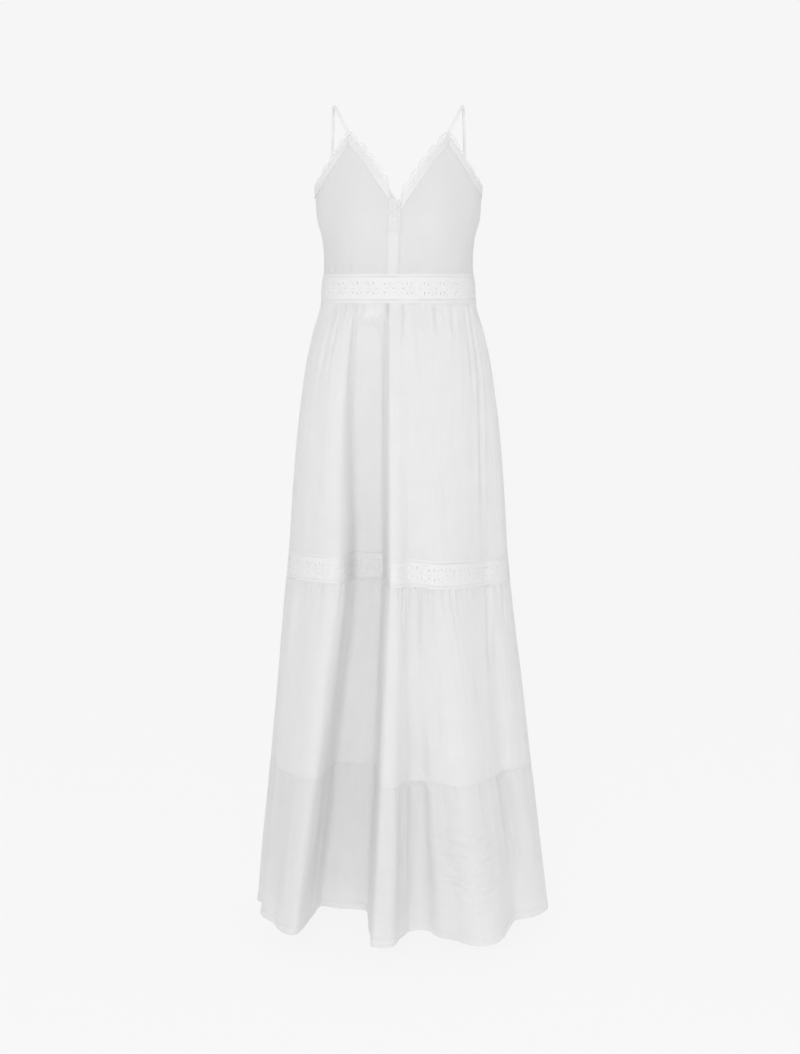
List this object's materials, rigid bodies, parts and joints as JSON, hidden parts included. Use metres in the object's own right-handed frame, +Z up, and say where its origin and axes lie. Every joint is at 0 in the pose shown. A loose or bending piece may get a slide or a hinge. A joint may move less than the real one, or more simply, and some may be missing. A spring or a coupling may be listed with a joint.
{
  "type": "maxi dress with crochet lace trim",
  "caption": "Sleeveless V-neck maxi dress with thin straps, scalloped crochet edging, lace insertions and gathered tiers.",
  "frame": {"origin": "midway between the tops of the two shoulder straps, at the height of their upper side", "axes": "+Z up along the dress, from the hem to the shoulders; the front faces -Y; +X to the right of someone who looks at the front"},
  "size_m": [0.5253, 0.419, 1.4002],
  "materials": {
    "cotton": "white crinkled cotton gauze, matt",
    "crochet_lace": "white cotton crochet lace, openwork, matt",
    "strap_cotton": "white rolled cotton strap, matt"
  },
  "bodies": {
    "root": {"bodice_front_left": "cotton", "bodice_front_right": "cotton", "bodice_back": "cotton", "upper_skirt_front": "cotton", "upper_skirt_back": "cotton", "lower_skirt_front": "cotton", "lower_skirt_back": "cotton", "flounce_front": "cotton", "flounce_back": "cotton", "neck_lace_left": "crochet_lace", "neck_lace_right": "crochet_lace", "armhole_lace_left": "crochet_lace", "armhole_lace_right": "crochet_lace", "placket": "crochet_lace", "waist_lace_front": "crochet_lace", "waist_lace_back": "crochet_lace", "skirt_lace_front": "crochet_lace", "skirt_lace_back": "crochet_lace", "strap_left": "strap_cotton", "strap_right": "strap_cotton"}
  },
  "joints": []
}
